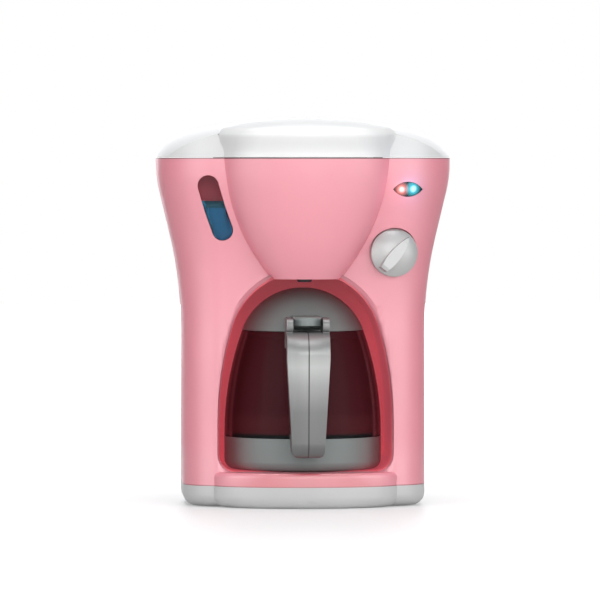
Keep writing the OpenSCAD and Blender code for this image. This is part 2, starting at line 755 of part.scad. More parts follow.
function lid_band_profile(inset) =
    let (w = bowl_a - inset,
        edge_w = bowl_a + lid_band_flare - inset,
        edge_z = seam_z + lid_band_edge_h - lid_band_edge_r - inset)
    concat([[w, seam_z - 1], [w, seam_z], [edge_w, edge_z]],
        arc(edge_w - lid_band_edge_r, edge_z, lid_band_edge_r, 12, 78, 4),
        [for (i = [1:6]) let (x = (edge_w - lid_band_edge_r) * (1 - i / 6) * 0.97)
            [x, seam_z + lid_h - inset - lid_crown_r + sqrt(lid_crown_r * lid_crown_r - x * x)]]);

module lid_form(inset) {
    intersection() {
        union() {
            intersection() {
                translate([0, 0, seam_z - 1]) linear_extrude(lid_h + 2) shoulder_plan(inset);
                lid_crown_form(inset);
            }
            front_half_ellipse(bowl_a - inset, bowl_b - inset, bowl_y) one_way(lid_band_profile(inset));
            along_y(-bowl_y, back_y) both_ways(lid_band_profile(inset));
        }
        translate([-foot_w, -foot_w - 10, inset > 0 ? seam_z - 2 : lid_from_z])
            cube([2 * foot_w, foot_w + 10 + back_y - inset, 40]);
    }
}

module top_lid() {
    color("white") difference() {
        union() {
            difference() {
                lid_form(0);
                lid_form(lid_wall);
            }
            both_sides() translate([lid_hinge_x, 0, 0]) {
                translate([0, hinge_y, hinge_z]) hinge_knuckle(hinge_lid_l);
                translate([-hinge_lid_l / 2, back_y - lid_wall / 2, hinge_z + 0.6])
                    cube([hinge_lid_l, hinge_y - back_y + lid_wall / 2, hinge_r - 0.6]);
            }
            // stiffening ribs under the crown
            intersection() {
                lid_form(lid_wall / 2);
                both_sides() translate([24, -back_y, seam_z + lid_h - 9]) cube([1.6, 2 * back_y - 4, 10]);
            }
        }
        both_sides() translate([lid_hinge_x, hinge_y, hinge_z]) rotate([0, 90, 0])
            cylinder(d = lid_pin_d + 2 * run, h = 30, center = true);
    }
}

module lid_hinge_pins() {
    color("silver") both_sides() translate([lid_hinge_x, hinge_y, hinge_z]) rotate([0, 90, 0])
        cylinder(d = lid_pin_d, h = hinge_lid_l + 2 * hinge_shell_l, center = true);
}

// ---------------------------------------------------------- gauge and lamps

module face_skin(outer, inner) {
    difference() {
        front_form(outer, seam_z - 60, seam_z, 0);
        front_form(inner, seam_z - 61, seam_z + 1, 1);
    }
}

module gauge_lens() {
    color([0.75, 0.85, 0.95, 0.5]) intersection() {
        face_skin(0.3, wall);
        through_front() gauge_outline(-fit);
    }
}

gauge_depth_y = front_at(gauge_points[2][0], gauge_points[2][1]) - wall - 7;

module gauge_housing() {
    color("maroon") intersection() {
        front_form(wall + fit, seam_z - 60, seam_z, 0);
        difference() {
            along_y(ahead_y, -gauge_depth_y) gauge_outline(1.6);
            along_y(ahead_y - 1, -gauge_depth_y - 1.4) gauge_outline(0);
        }
    }
}

module gauge_water() {
    color("steelblue") intersection() {
        front_form(wall + 0.6, seam_z - 60, seam_z, 0);
        along_y(ahead_y, -gauge_depth_y - 1.4 - fit) gauge_outline(-fit);
        translate([-foot_w, ahead_y, base_h]) cube([foot_w, foot_d, gauge_level_z - base_h]);
    }
}

module lamp_lens() {
    color([0.9, 0.9, 0.95, 0.5]) intersection() {
        face_skin(0.2, wall);
        through_front() lamp_outline(-fit);
    }
}

lamp_led_l = 8.6;
lamp_back_y = lamp_led_y - lamp_led_l;
lamp_board_h = 12;

module lamp_reflector() {
    color("silver") difference() {
        intersection() {
            front_form(wall + fit, seam_z - 60, seam_z, 0);
            along_y(-70, -lamp_back_y) lamp_outline(1.4);
        }
        for (s = [-1, 1]) translate([lamp_x + s * lamp_led_x, 0, lamp_z]) rotate([90, 0, 0])
            cylinder(d = lamp_led_d + 2 * run, h = 80);
        translate([lamp_x, -lamp_led_y - 10, lamp_z]) rotate([90, 0, 0]) cylinder(d = 4, h = 20, center = true);
    }
}

module led(side) {
    translate([lamp_x + side * lamp_led_x, -lamp_back_y, lamp_z]) rotate([90, 0, 0]) {
        cylinder(d = lamp_led_d, h = lamp_led_l - lamp_led_d / 2);
        translate([0, 0, lamp_led_l - lamp_led_d / 2]) sphere(d = lamp_led_d - 2 * e);
    }
}

module lamp_red() {
    color("tomato") led(-1);
}

module lamp_blue() {
    color("deepskyblue") led(1);
}

module lamp_board() {
    color("seagreen") translate([lamp_x - lamp_w / 2, -lamp_back_y, lamp_z - lamp_board_h / 2]) difference() {
        cube([lamp_w, board_t, lamp_board_h]);
        for (x = [2, lamp_w - 2]) translate([x, 3, 2]) rotate([90, 0, 0]) cylinder(d = 1.4, h = 4);
    }
}

// --------------------------------------------------------------------- knob

module knob_dome(r, h) {
    sphere_r = (r * r + h * h) / (2 * h);
    intersection() {
        translate([0, 0, h - sphere_r]) sphere(r = sphere_r, $fn = 128);
        cylinder(r = r, h = h + 1);
    }
}

knob_rim_h = 1.6;
knob_dome_h = 4.4;
knob_blade_h = 8.6;
knob_blade_r = 31.5;
knob_blade_half_w = 3.05;
knob_blade_mid = -2.7;
knob_blade_end = 1.3;

module knob() {
    color("gainsboro") knob_frame() rotate([0, 0, -knob_pointer]) difference() {
        union() {
            translate([0, 0, -knob_seat_depth + 0.4])
                cylinder(d = knob_d, h = knob_rim_h + knob_seat_depth - 0.4);
            translate([0, 0, knob_rim_h]) knob_dome(knob_d / 2, knob_dome_h);
            // grip blade: blunt at one end, drawn to a point at the other
            intersection() {
                translate([0, 0, knob_rim_h]) cylinder(d = knob_d, h = knob_blade_h);
                translate([0, 0, knob_rim_h]) linear_extrude(knob_blade_h) intersection() {
                    intersection_for(s = [-1, 1])
                        translate([s * (knob_blade_r - knob_blade_half_w), knob_blade_mid])
                            circle(knob_blade_r, $fn = 180);
                    translate([-5, knob_blade_end - knob_d / 2]) square([10, knob_d]);
                }
                rotate([0, 90, 0]) translate([0, 0, -10]) linear_extrude(20)
                    polygon([[0, -14], [-knob_rim_h - 3, -12.6], [-knob_blade_h + 0.7, -11],
                        [-knob_blade_h, -9.4], [-knob_blade_h, 6.5], [-knob_blade_h + 1.4, 9.8],
                        [-knob_rim_h - 2, 12.4], [0, 14]]);
            }
        }
        translate([0, 0, -knob_seat_depth - 1]) cylinder(d = shaft_d + 2 * run, h = knob_seat_depth + 5);
    }
}

module knob_shaft() {
    color("silver") knob_frame() translate([0, 0, board_front + 1])
        cylinder(d = shaft_d, h = 2.6 - board_front);
}

module rotary_switch() {
    color("dimgray") knob_frame() difference() {
        union() {
            translate([0, 0, board_front]) cylinder(r = 7.6, h = switch_depth);
            translate([0, 0, switch_front - 0.1]) cylinder(d = shaft_d + 3, h = 0.6);
            for (x = [-2.5, 0, 2.5]) translate([x - 0.4, -11.5, board_front]) cube([0.8, 5, 0.6]);
        }
        translate([0, 0, board_front + 0.8]) cylinder(d = shaft_d + 2 * run, h = switch_depth + 2);
    }
}

module circuit_board() {
    color("seagreen") knob_frame() translate([0, 0, board_front - board_t]) difference() {
        union() {
            translate([-board[0] / 2, -board[1] / 2, 0]) cube([board[0], board[1], board_t]);
            // plug socket and sound chip
            translate([-4, board[1] / 2 - 4.5, -2.4]) cube([8, 4, 2.4 + e]);
            translate([-9, -board[1] / 2 + 2, -1.6]) cube([7, 5, 1.6 + e]);
        }
        for (p = board_bosses) translate([p[0], p[1], -1]) cylinder(d = board_screw_d + 0.6, h = board_t + 2);
    }
}

module board_screws() {
    color("silver") knob_frame() for (p = board_bosses)
        translate([p[0], p[1], board_front - board_t]) {
            cylinder(d = board_screw_d, h = 5.6);
            translate([0, 0, -1.1]) cylinder(d = 2 * board_screw_d, h = 1.1);
        }
}

// ------------------------------------------------------------------ speaker

module speaker() {
    color("dimgray") translate([0, back_y - wall, speaker_z]) rotate([90, 0, 0]) {
        difference() {
            cylinder(d = speaker_d, h = speaker_rim_t);
            translate([0, 0, -1]) cylinder(d = speaker_d - 5, h = 1 + speaker_rim_t / 2);
        }
        translate([0, 0, speaker_rim_t]) cylinder(d1 = speaker_d - 6, d2 = speaker_d / 2, h = 2.4);
        translate([0, 0, speaker_rim_t + 2.4])
            cylinder(d = speaker_d / 2, h = speaker_depth - speaker_rim_t - 1.6);
    }
}

module speaker_retainer() {
    color("whitesmoke") translate([0, back_y - wall - speaker_rim_t, speaker_z]) rotate([90, 0, 0])
    difference() {
        cylinder(d = speaker_d + fit, h = 1.8);
        translate([0, 0, -1]) cylinder(d = speaker_d - 5, h = 4);
    }
}

// ---------------------------------------------------------------- batteries

module battery_box() {
    color("dimgray") translate([0, box_y, 0]) difference() {
        translate([-box_in[0] / 2 - box_t, -box_in[1] / 2 - box_t, base_wall])
            cube([box_in[0] + 2 * box_t, box_in[1] + 2 * box_t, box_roof_z + box_t - base_wall]);
        translate([-box_in[0] / 2, -box_in[1] / 2, base_wall - 1])
            cube([box_in[0], box_in[1], box_roof_z - base_wall + 1]);
    }
}

module each_cell() {
    for (i = [0:cells - 1]) translate([0, box_y + (i - (cells - 1) / 2) * cell_pitch, cell_z])
        mirror([i % 2, 0, 0]) children();
}

cell_nub = 1.2;
contact_t = 0.4;

module battery_cells() {
    color("goldenrod") each_cell() rotate([0, 90, 0]) {
        translate([0, 0, -cell_l / 2]) cylinder(d = cell_d, h = cell_l);
        translate([0, 0, cell_l / 2]) cylinder(d = 3.8, h = cell_nub);
    }
}

module battery_contacts() {
    color("silver") each_cell() for (s = [0, 1]) mirror([s, 0, 0])
        translate([box_in[0] / 2 - contact_t, -4, -4]) cube([contact_t, 8, 8]);
}

module battery_springs() {
    turns = 5;
    room = box_in[0] / 2 - contact_t - cell_l / 2;
    wire_r = 0.7;
    color("silver") each_cell() {
        translate([-cell_l / 2, 0, 0]) rotate([0, -90, 0]) for (i = [0:turns - 1])
            translate([0, 0, wire_r + i * (room - 2 * wire_r) / (turns - 1)])
                rotate_extrude($fn = 32) translate([2 + i * 0.35, 0]) circle(wire_r, $fn = 16);
        translate([cell_l / 2 + cell_nub, 0, 0]) rotate([0, 90, 0])
            cylinder(d1 = 2.4, d2 = 5, h = room - cell_nub);
    }
}

module battery_door() {
    gap = 0.25;
    lift = 0.2;
    color("whitesmoke") difference() {
        union() {
            translate([-hatch[0] / 2 + gap, box_y - hatch[1] / 2 + gap, lift])
                cube([hatch[0] - 2 * gap, hatch[1] - 2 * gap, base_wall - lift]);
            // tongues that hook over the tray floor
            for (x = [-1, 1]) translate([x * hatch[0] / 4 - 4, box_y + hatch[1] / 2 - 2.4, base_wall - 0.4]) {
                cube([8, 2.1, 1.8]);
                translate([0, 0, 0.45]) cube([8, 4, 1.35]);
            }
            // ear for the screw
            translate([-boss_r - 1.1, door_screw_y, lift])
                cube([2 * boss_r + 2.2, box_y - hatch[1] / 2 - door_screw_y + 1, base_wall - lift - 0.5]);
            translate([0, door_screw_y, lift]) cylinder(r = boss_r + 1.1, h = base_wall - lift - 0.5);
        }
        translate([0, door_screw_y, -1]) cylinder(d = screw_clear_d, h = 6);
        // grip grooves
        for (i = [-2:2]) translate([-9, box_y + i * 2.4 - 0.5, -1]) cube([18, 1, 1 + lift + 0.5]);
    }
}

module battery_door_screw() {
    color("silver") translate([0, door_screw_y, 0]) {
        translate([0, 0, base_wall - 0.5]) cylinder(d = screw_d, h = 6);
        translate([0, 0, 0.25]) difference() {
            cylinder(d = screw_d, h = base_wall - 0.5);
            translate([-0.9, -0.25, -e]) cube([1.8, 0.5, 0.6]);
        }
    }
}

// ------------------------------------------------------------------- screws

module base_screws() {
    color("silver") both_sides() for (p = base_screw_places)
        translate([p[0], p[1], screw_head_h + 2]) screw(base_h + 4);
}

module shell_screws() {
    color("silver") both_sides() for (p = shell_screw_places)
        translate([p[0], split_y + 4, p[1]]) rotate([90, 0, 0]) screw(13);
}

module deck_screws() {
    color("silver") both_sides() for (p = deck_post_places)
        translate([p[0], p[1], deck_top_z]) rotate([180, 0, 0]) translate([0, 0, screw_head_h]) screw(7.5);
}

// ------------------------------------------------------------------- carafe

jar_r = niche_half_w - jar_room;
jar_y = jar_r + jar_back_gap - (niche_back_y - liner_wall);
handle_reach = jar_r + handle_out;
carafe_lift = 0.2;
carafe_z = niche_floor_z + carafe_lift;
band_wall = 2;
band_edge_r = 5;
flank_z = band_top_z + 2;
jar_gap = 0.15;
neck_r = jar_r_at(jar_top_z);
lip_r = neck_r - jar_wall - 1;
dome_r = neck_r + dome_over;
dome_z = jar_top_z + 0.3;
dome_centre_z = dome_z - sqrt(dome_r * dome_r - neck_r * neck_r);
pin_y = neck_r + 9;
pin_z = jar_top_z + 4;
carafe_pin_d = 2;
lug_w = 9;
arm_top_z = jar_top_z + 0.5;
handle_foot_z = carafe_z + 8.4;
handle_foot_r = 3;

function jar_r_at(z) =
    z <= flank_z ? jar_r
    : jar_r - jar_flank_r + sqrt(jar_flank_r * jar_flank_r - (z - flank_z) * (z - flank_z));

module carafe_place() {
    translate([0, -jar_y, 0]) children();
}

jar_steps = 9;
jar_levels = [for (i = [0:jar_steps]) flank_z + (jar_top_z - flank_z) * i / jar_steps];
module jar_profile(inset, from_z, to_z) {
    low_r = jar_r - band_wall - jar_gap - inset;
    polygon(concat([[0, from_z], [low_r, from_z], [low_r, band_top_z + 0.1 + (inset > 0 ? 1 : 0)],
            [jar_r - inset, band_top_z + 0.1 + (inset > 0 ? 1 + inset : 0)]],
        [for (z = jar_levels) if (z > flank_z) [jar_r_at(z) - inset, z]],
        [[neck_r - inset, to_z], [0, to_z]]));
}

// Lug on the jar's neck and on the band that the handle halves close around.
module lug(y_from, y_to, z_from, z_to) {
    translate([-lug_w / 2, -y_to, z_from]) cube([lug_w, y_to - y_from, z_to - z_from]);
}

upper_lug = [neck_r + 1.8, neck_r + 9.3, jar_top_z - 7, jar_top_z - 1.5];
lower_lug = [jar_r - 0.6, jar_r + 6, handle_foot_z + 2.2, handle_foot_z + 7.2];
upper_screw = [neck_r + 6.8, jar_top_z - 4.2];
lower_screw = [jar_r + 3.7, handle_foot_z + 5];

module carafe_jar() {
    color([0.25, 0.2, 0.2, 0.6]) carafe_place() difference() {
        union() {
            rotate_extrude() jar_profile(0, carafe_z + band_wall + jar_gap, jar_top_z);
            lug(upper_lug[0] - 2, upper_lug[1], upper_lug[2], upper_lug[3]);
        }
        rotate_extrude() jar_profile(jar_wall, carafe_z + band_wall + jar_gap + jar_wall, jar_top_z + 1);
        translate([0, -upper_screw[0], upper_screw[1]]) rotate([0, 90, 0])
            cylinder(d = screw_clear_d, h = 20, center = true);
    }
}

module carafe_base() {
    color("gray") carafe_place() difference() {
        union() {
            rotate_extrude() polygon(concat([[0, carafe_z]],
                arc(jar_r - band_edge_r, carafe_z + band_edge_r, band_edge_r, -90, 0, 5),
                [[jar_r, band_top_z], [0, band_top_z]]));
            lug(lower_lug[0] - 2, lower_lug[1], lower_lug[2], lower_lug[3]);
        }
        translate([0, 0, carafe_z + band_wall]) cylinder(r = jar_r - band_wall, h = 40);
        translate([0, -lower_screw[0], lower_screw[1]]) rotate([0, 90, 0])
            cylinder(d = screw_clear_d, h = 20, center = true);
    }
}

tab_w = ear_slot_w - 0.8;
tab_y = pin_y + 9.8;
tab_root_y = dome_r - 10;
tab_z = jar_top_z + 3.9;
tab_h = 4.6;

module carafe_lid() {
    color("gray") carafe_place() difference() {
        union() {
            intersection() {
                translate([0, 0, dome_centre_z]) sphere(r = dome_r, $fn = 128);
                translate([0, 0, dome_z]) cylinder(r = 60, h = 60);
            }
            translate([0, 0, jar_top_z - 4]) cylinder(r = lip_r, h = 4 + 0.4);
            // thumb tab, round at its front, on a neck that carries the hinge
            translate([0, -tab_y, tab_z]) rotate_extrude() polygon(concat([[0, 0], [tab_w / 2, 0]],
                arc(tab_w / 2 - 1.8, tab_h - 1.8, 1.8, 0, 90, 4), [[0, tab_h + 0.3]]));
            translate([-tab_w / 2, -tab_y, tab_z]) cube([tab_w, tab_y - tab_root_y, tab_h]);
            translate([0, -pin_y, pin_z]) rotate([0, 90, 0]) cylinder(r = 2.6, h = tab_w, center = true);
        }
        translate([0, 0, dome_centre_z]) intersection() {
            sphere(r = dome_r - jar_wall, $fn = 128);
            translate([0, 0, dome_z - dome_centre_z - 1]) cylinder(r = lip_r - 1.6, h = 60);
        }
        translate([0, 0, jar_top_z - 5]) cylinder(r = lip_r - 1.6, h = 6);
        // drip inlet
        translate([0, 0, dome_z]) cylinder(d = 7, h = 40);
        translate([0, -pin_y, pin_z]) rotate([0, 90, 0])
            cylinder(d = carafe_pin_d + 2 * run, h = 60, center = true);
    }
}

module carafe_lid_pin() {
    color("silver") carafe_place() translate([0, -pin_y, pin_z]) rotate([0, 90, 0])
        cylinder(d = carafe_pin_d, h = handle_w - 2.4, center = true);
}

// Side view of the handle: depth in front of the carafe's middle, and height.
grip_t = 12;
grip_lean = 3.2;
arm_t = 8.5;
module handle_side() {
    top = arm_top_z;
    foot = handle_foot_z;
    out = handle_reach;
    difference() {
        polygon(concat(
            [[neck_r + 3.8, top]],
            arc(out - 13, top - 13, 13, 90, 6, 7),
            arc(out - grip_lean - 9, foot + 9, 9, -6, -90, 6),
            [[jar_r + 2.4, foot], [jar_r - 0.4, foot + 1.6], [jar_r - 0.4, foot + 11.5],
                [jar_r - 5.6, foot + 12]]));
        polygon(concat(
            [[jar_r - 11.6, top - arm_t]],
            arc(out - grip_t - 6, top - arm_t - 6, 6, 90, 8, 4),
            arc(out - grip_t - grip_lean - 5, foot + 11.5 + 5, 5, -8, -90, 4),
            [[jar_r - 11.6, foot + 11.5]]));
    }
}

module handle_ears() {
    translate([pin_y - 3.4, arm_top_z - 2]) square([22, 6]);
    translate([pin_y, pin_z]) circle(4);
    translate([pin_y, arm_top_z]) square([17.2, 7.3]);
    translate([pin_y + 17.2, arm_top_z + 3.6]) circle(3.7);
}

module carafe_side(x_from, x_to) {
    rotate([90, 0, -90]) translate([0, 0, -x_to]) linear_extrude(x_to - x_from) children();
}

module handle_half_solid() {
    seam = 0.03;
    difference() {
        union() {
            intersection() {
                carafe_side(-handle_w / 2, -seam) handle_side();
                // tapering front view
                rotate([90, 0, 0]) linear_extrude(100) polygon([[0, handle_foot_z - 1],
                    [handle_foot_r - handle_foot_w / 2, handle_foot_z - 0.1],
                    [0.3 * handle_foot_r - handle_foot_w / 2, handle_foot_z + 0.3 * handle_foot_r],
                    [-handle_foot_w / 2, handle_foot_z + handle_foot_r], [-handle_w / 2, arm_top_z - 14],
                    [-handle_w / 2, arm_top_z + 20], [0, arm_top_z + 20]]);
            }
            carafe_side(-handle_w / 2, -ear_slot_w / 2) handle_ears();
        }
        // room for the jar, the band and their lugs
        rotate_extrude() polygon(concat([[0, 0], [jar_r + fit, 0]],
            [for (z = jar_levels) [jar_r_at(z) + fit, z]],
            [[neck_r + 0.6, jar_top_z + 12], [0, jar_top_z + 12]]));
        for (l = [upper_lug, lower_lug])
            translate([-lug_w / 2 - fit, -l[1] - fit, l[2] - fit])
                cube([lug_w + 2 * fit, l[1] - l[0] + 4, l[3] - l[2] + 2 * fit]);
    }
}

module handle_holes(head) {
    for (p = [upper_screw, lower_screw]) translate([0, -p[0], p[1]]) rotate([0, 90, 0]) {
        cylinder(d = head ? screw_clear_d : screw_hole_d, h = 13, center = true);
        if (head) translate([0, 0, -30 - 6.2]) cylinder(d = screw_well_d, h = 30);
    }
    translate([0, -pin_y, pin_z]) rotate([0, 90, 0])
        cylinder(d = carafe_pin_d + 2 * run, h = handle_w - 2, center = true);
}

module handle_left() {
    color("silver") carafe_place() difference() {
        handle_half_solid();
        handle_holes(true);
    }
}

module handle_right() {
    color("silver") carafe_place() difference() {
        mirror([1, 0, 0]) handle_half_solid();
        handle_holes(false);
    }
}

module handle_screws() {
    color("silver") carafe_place() for (p = [upper_screw, lower_screw])
        translate([-6.2, -p[0], p[1]]) rotate([0, 90, 0]) screw(12.2);
}

// ------------------------------------------------------------------ drawing

base_tray();
front_shell();
back_shell();
niche_liner();
top_deck();
top_lid();
lid_hinge_pins();
filter_basket();
drip_nozzle();
gauge_lens();
gauge_housing();
gauge_water();
lamp_lens();
lamp_reflector();
lamp_red();
lamp_blue();
lamp_board();
knob();
knob_shaft();
rotary_switch();
circuit_board();
board_screws();
speaker();
speaker_retainer();
battery_box();
battery_cells();
battery_contacts();
battery_springs();
battery_door();
battery_door_screw();
base_screws();
shell_screws();
deck_screws();
carafe_jar();
carafe_base();
carafe_lid();
carafe_lid_pin();
handle_left();
handle_right();
handle_screws();
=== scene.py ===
import json
import math
import bpy
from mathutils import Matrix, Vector


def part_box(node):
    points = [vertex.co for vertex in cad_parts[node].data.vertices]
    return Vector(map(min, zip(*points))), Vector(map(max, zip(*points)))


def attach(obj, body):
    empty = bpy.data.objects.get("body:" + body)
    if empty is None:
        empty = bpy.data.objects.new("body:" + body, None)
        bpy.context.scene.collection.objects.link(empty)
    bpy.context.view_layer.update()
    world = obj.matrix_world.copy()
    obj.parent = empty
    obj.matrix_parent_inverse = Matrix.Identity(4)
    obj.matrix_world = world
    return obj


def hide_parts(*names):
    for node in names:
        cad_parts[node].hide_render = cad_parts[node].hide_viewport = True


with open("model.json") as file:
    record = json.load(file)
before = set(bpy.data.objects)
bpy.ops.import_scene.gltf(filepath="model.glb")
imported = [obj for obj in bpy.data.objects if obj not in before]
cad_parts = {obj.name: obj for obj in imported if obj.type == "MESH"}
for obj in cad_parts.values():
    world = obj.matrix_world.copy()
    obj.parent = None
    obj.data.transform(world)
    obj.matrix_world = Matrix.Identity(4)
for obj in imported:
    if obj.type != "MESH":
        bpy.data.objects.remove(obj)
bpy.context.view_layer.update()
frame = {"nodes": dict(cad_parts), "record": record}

# ---------------------------------------------------------------- base tray
# The foot is a shallow tray of glossy white plastic with a rounded lower
# edge. It is screwed up into the two shells from below.
X, Y, Z = range(3)
CREASE = 32.0


class Wire:
    """A socket in a finish, so that shader maths reads as an expression."""

    def __init__(self, finish, socket):
        self.finish = finish
        self.socket = socket

    def maths(self, operation, first, second):
        return self.finish.node("ShaderNodeMath", {"operation": operation}, {0: first, 1: second})

    def __add__(self, other):
        return self.maths("ADD", self, other)

    def __radd__(self, other):
        return self.maths("ADD", other, self)

    def __sub__(self, other):
        return self.maths("SUBTRACT", self, other)

    def __rsub__(self, other):
        return self.maths("SUBTRACT", other, self)

    def __mul__(self, other):
        return self.maths("MULTIPLY", self, other)

    def __rmul__(self, other):
        return self.maths("MULTIPLY", other, self)


class Finish:
    """One procedural finish: its shader, and one method that adds any other node."""

    def __init__(self, name, **constants):
        self.material = bpy.data.materials.new(name)
        self.material.use_nodes = True
        self.tree = self.material.node_tree
        self.tree.nodes.clear()
        self.shader = self.tree.nodes.new("ShaderNodeBsdfPrincipled")
        output = self.tree.nodes.new("ShaderNodeOutputMaterial")
        self.tree.links.new(self.shader.outputs[0], output.inputs[0])
        self.feed(self.shader, {name.replace("_", " "): value for name, value in constants.items()})

    def node(self, kind, settings=None, sockets=None, out=0):
        node = self.tree.nodes.new(kind)
        for name, value in (settings or {}).items():
            if name == "stops":
                ramp = node.color_ramp
                while len(ramp.elements) < len(value):
                    ramp.elements.new(0.5)
                for element, (place, shade) in zip(ramp.elements, value):
                    element.position = place
                    element.color = (*shade, 1)
            else:
                setattr(node, name, value)
        self.feed(node, sockets or {})
        return Wire(self, node.outputs[out])

    def feed(self, node, sockets):
        for name, value in sockets.items():
            if isinstance(value, Wire):
                self.tree.links.new(value.socket, node.inputs[name])
            else:
                node.inputs[name].default_value = value

    def place(self):
        return self.node("ShaderNodeTexCoord", out="Object")


def clouds(finish, scale, detail):
    """A cloudy pattern between 0 and 1; a larger scale gives smaller clouds."""
    return finish.node("ShaderNodeTexNoise", None,
                       {"Vector": finish.place(), "Scale": scale, "Detail": detail})


def stepped(finish, value, *stops):
    """Colours that follow a value, each stop a value between 0 and 1 and its colour."""
    return finish.node("ShaderNodeValToRGB", {"stops": stops}, {0: value})


def moulded_plastic(name, colour, rough, grain=0.00002, drift=0.03, coat=0.0, alpha=1.0,
                    shine=0.5, **constants):
    """Injection-moulded plastic: a slow drift of shade, a fine grain and uneven gloss."""
    drift_scale, grain_scale, grain_strength = 22.0, 1500.0, 0.6
    smear_scale, smear_depth = 70.0, 0.12
    finish = Finish(name, Specular_IOR_Level=shine,
                    **{"IOR": 1.48, "Coat_Roughness": 0.1, **constants})
    pale = tuple(min(1.0, c * (1 + drift)) for c in colour)
    deep = tuple(c * (1 - drift) for c in colour)
    finish.tint = stepped(finish, clouds(finish, drift_scale, 2.0), (0.3, deep), (0.7, pale))
    smear = clouds(finish, smear_scale, 4.0)
    bump = finish.node("ShaderNodeBump", None, {
        "Height": clouds(finish, grain_scale, 2.0), "Strength": grain_strength,
        "Distance": grain})
    finish.feed(finish.shader, {
        "Base Color": finish.tint, "Roughness": rough + (smear - 0.5) * smear_depth,
        "Coat Weight": coat, "Alpha": alpha, "Normal": bump})
    return finish


def moulded(node, body, finish, edge=0.0003, crease=CREASE, rows=(), columns=(), reshape=None):
    """A copy of a CAD node: triangles merged, sharp edges rounded, curves smooth.

    rows are heights, and columns places across, at which it gets points for reshape to move."""
    piece = bpy.data.objects.new(node + "_moulding", frame["nodes"][node].data.copy())
    bpy.context.scene.collection.objects.link(piece)
    bpy.ops.object.select_all(action="DESELECT")
    piece.select_set(True)
    bpy.context.view_layer.objects.active = piece
    bpy.ops.object.mode_set(mode="EDIT")
    bpy.ops.mesh.select_all(action="SELECT")
    bpy.ops.mesh.remove_doubles(threshold=0.000002)
    bpy.ops.mesh.dissolve_limited(angle_limit=math.radians(0.1))
    cuts = [((0, 0, row), (0, 0, 1)) for row in rows]
    cuts += [((column, 0, 0), (1, 0, 0)) for column in columns]
    for place, way in cuts:
        bpy.ops.mesh.select_all(action="SELECT")
        bpy.ops.mesh.bisect(plane_co=place, plane_no=way)
    bpy.ops.object.mode_set(mode="OBJECT")
    if reshape:
        for point in piece.data.vertices:
            point.co = reshape(point.co)
    if edge > 0:
        rounding = piece.modifiers.new("rounded edges", "BEVEL")
        rounding.width = edge
        rounding.segments = 2
        rounding.limit_method = "ANGLE"
        rounding.angle_limit = math.radians(crease)
        bpy.ops.object.modifier_apply(modifier=rounding.name)
    bpy.ops.object.shade_smooth_by_angle(angle=math.radians(crease))
    even = piece.modifiers.new("even shading", "WEIGHTED_NORMAL")
    even.keep_sharp = True
    bpy.ops.object.modifier_apply(modifier=even.name)
    piece.data.materials.clear()
    piece.data.materials.append(finish.material)
    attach(piece, body)
    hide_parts(node)
    return piece


def finished(finish, *nodes):
    """CAD nodes whose shape stays as it is get their finish."""
    for node in nodes:
        for seat in frame["nodes"][node].material_slots:
            seat.material = finish.material


white_plastic = moulded_plastic("white_plastic", (0.50, 0.50, 0.50), 0.35, coat=0.15,
                                Coat_Roughness=0.25)

# The screw of the battery hatch stands close behind the rounded front edge,
# so its well and the hatch's ear in it are flattened at their front.
hatch_screw = Vector((0, -0.054, 0))
ear_radius, well_radius, well_depth = 0.0047, 0.005, 0.0018
flattening, near, hair = 0.52, 0.0001, 0.00001


def flattened(point, radius=ear_radius):
    """A point of the ear's rim, drawn back where it lies in front of the screw."""
    reach = Vector((point.x, point.y, 0)) - hatch_screw
    on_rim = abs(reach.length - radius) <= near and point.z <= well_depth + near
    if point.y > hatch_screw.y or not on_rim:
        return point
    return Vector((point.x, hatch_screw.y + reach.y * flattening, point.z))


def flattened_well(point):
    """A point of the well's rim, drawn back too; all but its top ends at the underside."""
    place = flattened(point, well_radius)
    if place is not point and place.z < well_depth - hair:
        place.z = 0
    return place


tray = moulded("base_tray", "body", white_plastic, reshape=flattened_well)

# A patch closes the rounded edge in front of the well. It stands proud of the
# edge by a hair and dips under it at both sides.
edge_radius, lobe_inset, lobe_middle, lobe_reach = 0.0065, 0.0147, -0.036, 0.024
lobe_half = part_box("base_tray")[1][X] - lobe_inset
patch_half, patch_turn, patch_wall = 0.0065, math.radians(54), 0.0004
proud, dip = 0.00005, 0.00015
bpy.ops.object.select_all(action="DESELECT")
bpy.ops.mesh.primitive_grid_add(x_subdivisions=26, y_subdivisions=18, size=1)
patch = bpy.context.active_object
patch.data.materials.append(white_plastic.material)
for point in patch.data.vertices:
    side, turn = 2 * point.co.x, (point.co.y + 0.5) * patch_turn
    across = side * patch_half
    radius = lobe_half - edge_radius * (1 - math.sin(turn))
    front = lobe_middle - lobe_reach / lobe_half * math.sqrt(radius ** 2 - across ** 2)
    point.co = (across, front - proud + dip * side ** 4, edge_radius * (1 - math.cos(turn)))
wall = patch.modifiers.new("wall", "SOLIDIFY")
wall.thickness = patch_wall
wall.offset = -1
bpy.ops.object.modifier_apply(modifier=wall.name)
bpy.ops.object.shade_smooth_by_angle(angle=math.radians(CREASE))
tray.select_set(True)
bpy.context.view_layer.objects.active = tray
bpy.ops.object.join()

# -------------------------------------------------------------- battery bay
# Three small cells lie in a black box on the tray floor, which a screwed
# white hatch closes from below. The cells are wrapped in black foil with a
# copper-coloured end.
dark_plastic = moulded_plastic("dark_plastic", (0.04, 0.04, 0.042), 0.5, grain=0.00004)
finished(dark_plastic, "battery_box")
moulded("battery_door", "body", white_plastic, edge=0.0002, reshape=flattened)

UP, BACK, RIGHT, FRONT_AND_DOWN = (0, 0, 1), (0, 1, 0), (1, 0, 0), (0, -1, -0.5)
copper_end, wrap_start, foil_scale = -0.01667, -0.0150, 12.0


